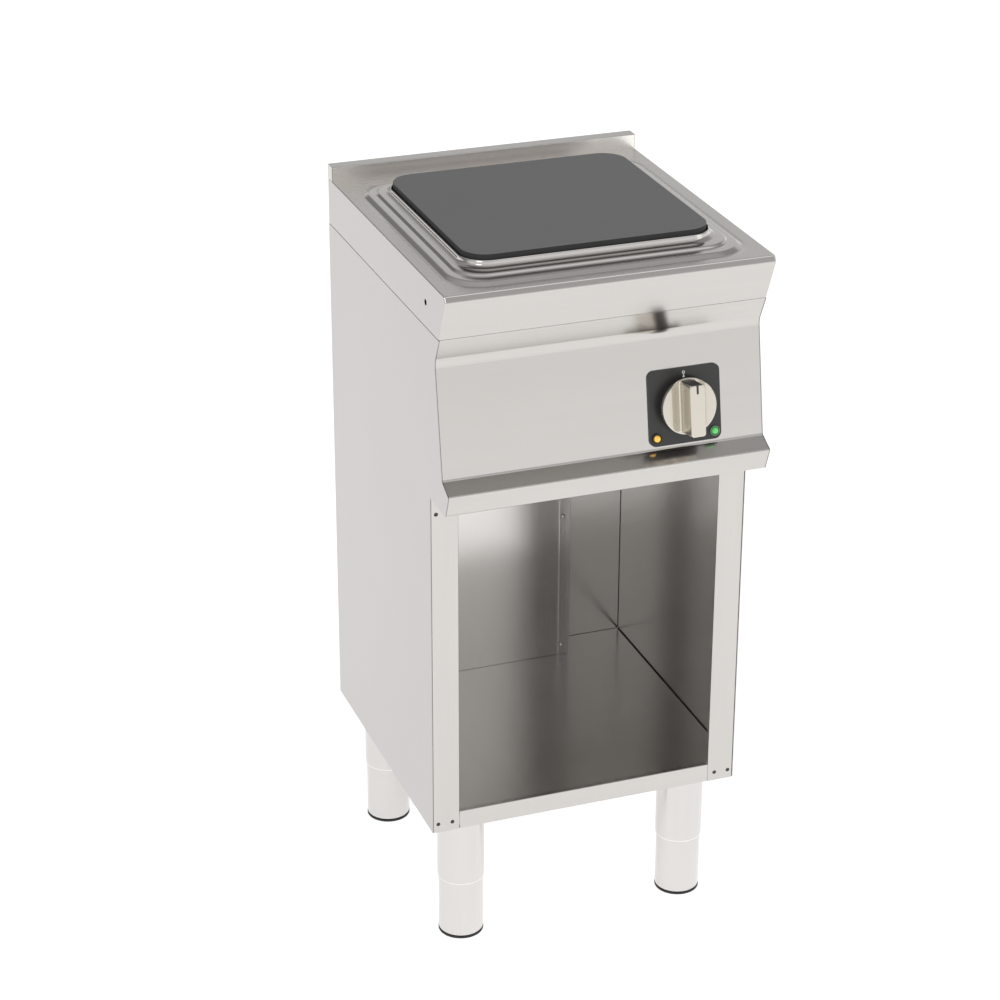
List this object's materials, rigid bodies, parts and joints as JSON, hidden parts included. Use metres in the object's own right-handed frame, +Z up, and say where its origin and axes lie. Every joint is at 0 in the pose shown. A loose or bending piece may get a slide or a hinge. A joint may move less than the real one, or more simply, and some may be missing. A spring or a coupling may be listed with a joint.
{
  "type": "hot plate range",
  "caption": "Free-standing stainless electric hot plate on an open storage cabinet: square cast plate, sloped control panel with a turning knob, adjustable legs.",
  "frame": {"origin": "middle of the bounding box on the floor", "axes": "+Z up, -Y towards the user, +X to the user's right"},
  "size_m": [0.4, 0.4627, 0.913],
  "materials": {
    "satin_steel": "satin brushed stainless sheet",
    "zinc_sheet": "zinc-coated sheet, satin",
    "cast_iron": "matt machined cast plate",
    "black_plastic": "satin black",
    "champagne_knob": "satin champagne",
    "amber_lens": "glossy translucent",
    "green_lens": "glossy translucent",
    "leg_steel": "smooth satin stainless",
    "black_rubber": "matt",
    "mineral_board": "fibrous, matt",
    "ceramic": "unglazed",
    "copper": "satin",
    "brown_wire": "satin sleeve",
    "blue_wire": "satin sleeve",
    "yellow_green_wire": "satin sleeve"
  },
  "bodies": {
    "cabinet": {"back_panel": "satin_steel", "bezel_plate": "black_plastic", "bottom_rail_front": "satin_steel", "bottom_rail_rear": "zinc_sheet", "cable_gland": "black_plastic", "capillary_tube": "copper", "ceramic_terminal": "ceramic", "clamp_bar": "zinc_sheet", "clamp_bolt": "zinc_sheet", "control_panel": "satin_steel", "deck_panel": "satin_steel", "floor_panel": "satin_steel", "front_cross_rail": "zinc_sheet", "front_post_left": "satin_steel", "front_post_right": "satin_steel", "gland_nut": "black_plastic", "heat_shield": "zinc_sheet", "heating_element_inner": "zinc_sheet", "heating_element_outer": "zinc_sheet", "hot_plate": "cast_iron", "insulation_board": "mineral_board", "lamp_amber_body": "black_plastic", "lamp_amber_lens": "amber_lens", "lamp_green_body": "black_plastic", "lamp_green_lens": "green_lens", "leg_sleeve_front_left": "leg_steel", "leg_sleeve_front_right": "leg_steel", "leg_sleeve_rear_left": "leg_steel", "leg_sleeve_rear_right": "leg_steel", "plate_gasket": "black_rubber", "plate_support_frame": "zinc_sheet", "post_screw_lower": "leg_steel", "post_screw_upper": "leg_steel", "rear_upstand": "satin_steel", "safety_limiter": "black_plastic", "sensor_bulb": "copper", "service_cover": "satin_steel", "service_post": "satin_steel", "side_panel_left": "satin_steel", "side_panel_right": "satin_steel", "terminal_block": "ceramic", "thermostat_body": "black_plastic", "wire_earth": "yellow_green_wire", "wire_live": "brown_wire", "wire_neutral": "blue_wire", "worktop": "satin_steel", "worktop_rail_left": "zinc_sheet", "worktop_rail_right": "zinc_sheet"},
    "knob": {"knob": "champagne_knob", "knob_shaft": "zinc_sheet", "knob_skirt": "black_plastic", "pointer_mark": "black_plastic"},
    "foot_front_left": {"foot_pad_front_left": "black_rubber", "foot_tube_front_left": "leg_steel"},
    "foot_front_right": {"foot_pad_front_right": "black_rubber", "foot_tube_front_right": "leg_steel"},
    "foot_rear_left": {"foot_pad_rear_left": "black_rubber", "foot_tube_rear_left": "leg_steel"},
    "foot_rear_right": {"foot_pad_rear_right": "black_rubber", "foot_tube_rear_right": "leg_steel"}
  },
  "joints": [
    {"name": "knob_turn", "type": "hinge", "parent": "cabinet", "child": "knob", "pos_m": [0.1005, -0.18493, 0.71471], "axis": [0, 0.9861, -0.166], "range_deg": [0, 270]},
    {"name": "foot_front_left_height", "type": "slide", "parent": "cabinet", "child": "foot_front_left", "axis": [0, 0, -1], "range_m": [0, 0.05]},
    {"name": "foot_front_right_height", "type": "slide", "parent": "cabinet", "child": "foot_front_right", "axis": [0, 0, -1], "range_m": [0, 0.05]},
    {"name": "foot_rear_left_height", "type": "slide", "parent": "cabinet", "child": "foot_rear_left", "axis": [0, 0, -1], "range_m": [0, 0.05]},
    {"name": "foot_rear_right_height", "type": "slide", "parent": "cabinet", "child": "foot_rear_right", "axis": [0, 0, -1], "range_m": [0, 0.05]}
  ]
}
